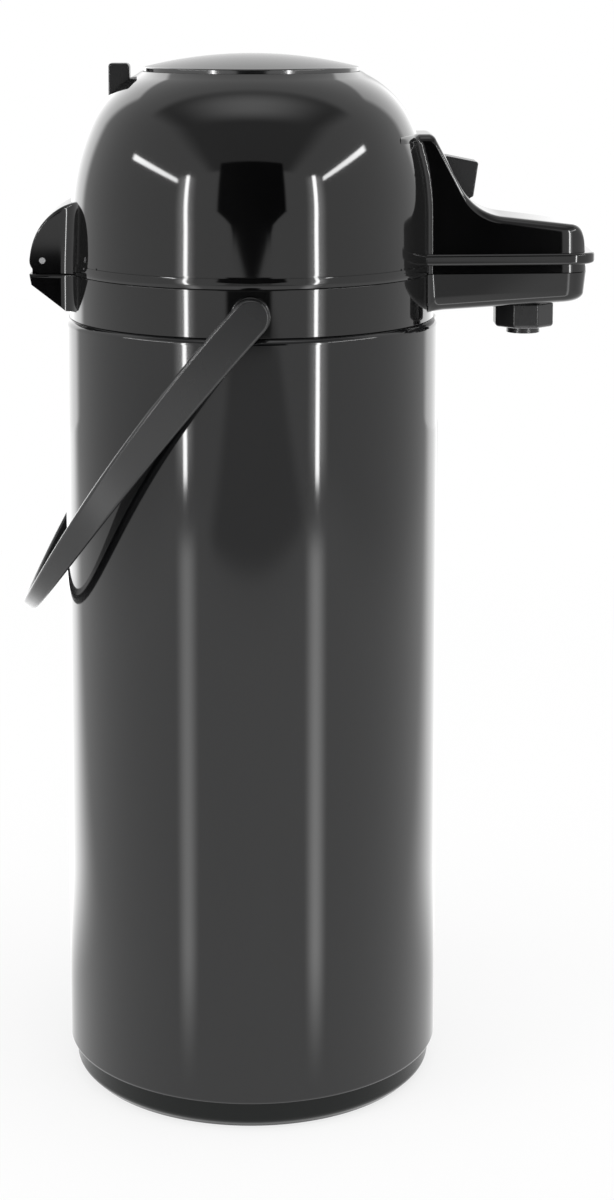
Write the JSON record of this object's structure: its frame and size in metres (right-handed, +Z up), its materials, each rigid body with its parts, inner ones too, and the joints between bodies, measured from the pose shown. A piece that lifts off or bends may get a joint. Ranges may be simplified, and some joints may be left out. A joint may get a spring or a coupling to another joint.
{
  "type": "airpot",
  "caption": "Push-button airpot: glass vacuum flask in a steel shell, hinged pump lid with a press button, latch, turn lock, side spout and bail handle.",
  "frame": {"origin": "middle of the flat underside, on the axis of the round body", "axes": "+Z up along the body axis, +X towards the spout, -X towards the lid hinge, handle pivots on the Y axis direction"},
  "size_m": [0.2238, 0.1572, 0.4023],
  "materials": {
    "shell_steel": "glossy",
    "dome_plastic": "glossy",
    "trim_plastic": "satin",
    "base_plastic": "satin",
    "inner_plastic": "matte",
    "flask_glass": "silvered",
    "silicone": "matte",
    "bellows_rubber": "matte",
    "spring_steel": "satin",
    "pin_steel": "polished"
  },
  "bodies": {
    "body": {"outer_shell": "shell_steel", "base_ring": "base_plastic", "bottom_cap": "base_plastic", "flask_cushion": "silicone", "glass_flask": "flask_glass", "neck_gasket": "silicone", "collar": "dome_plastic", "tube_holder": "inner_plastic", "dip_tube": "inner_plastic", "pour_pipe": "inner_plastic", "pipe_joint": "silicone", "outlet_tube": "inner_plastic", "nozzle_cap": "trim_plastic"},
    "lid": {"lid_shell": "dome_plastic", "hinge_pin": "pin_steel", "lid_base": "inner_plastic", "inner_lid": "inner_plastic", "lid_gasket": "silicone", "air_valve": "silicone", "lid_screws": "pin_steel", "guide_sleeve": "inner_plastic", "bellows": "bellows_rubber", "return_spring": "spring_steel", "latch_pin": "pin_steel", "latch_spring": "spring_steel"},
    "button": {"push_button": "dome_plastic", "pump_plate": "inner_plastic"},
    "lock": {"lock_ring": "trim_plastic"},
    "latch": {"latch_lever": "trim_plastic"},
    "handle": {"bail_handle": "trim_plastic"}
  },
  "joints": [
    {"name": "lid_hinge", "type": "hinge", "parent": "body", "child": "lid", "pos_m": [-0.08, 0, 0.3236], "axis": [0, -1, 0], "range_deg": [0, 95]},
    {"name": "button_press", "type": "slide", "parent": "lid", "child": "button", "axis": [0, 0, -1], "range_m": [0, 0.028], "stiffness_N_per_m": 400, "springref_m": -0.015, "deforming": ["bellows", "return_spring"]},
    {"name": "lock_turn", "type": "hinge", "parent": "lid", "child": "lock", "pos_m": [0, 0, 0.3845], "axis": [0, 0, 1], "range_deg": [0, 20]},
    {"name": "latch_lift", "type": "hinge", "parent": "lid", "child": "latch", "pos_m": [0.0752, 0, 0.35], "axis": [0, -1, 0], "range_deg": [0, 8], "stiffness_Nm_per_rad": 0.2, "springref_deg": -11.46},
    {"name": "handle_swing", "type": "hinge", "parent": "body", "child": "handle", "pos_m": [0, 0, 0.3086], "axis": [0, 1, 0], "range_deg": [0, 150]}
  ]
}
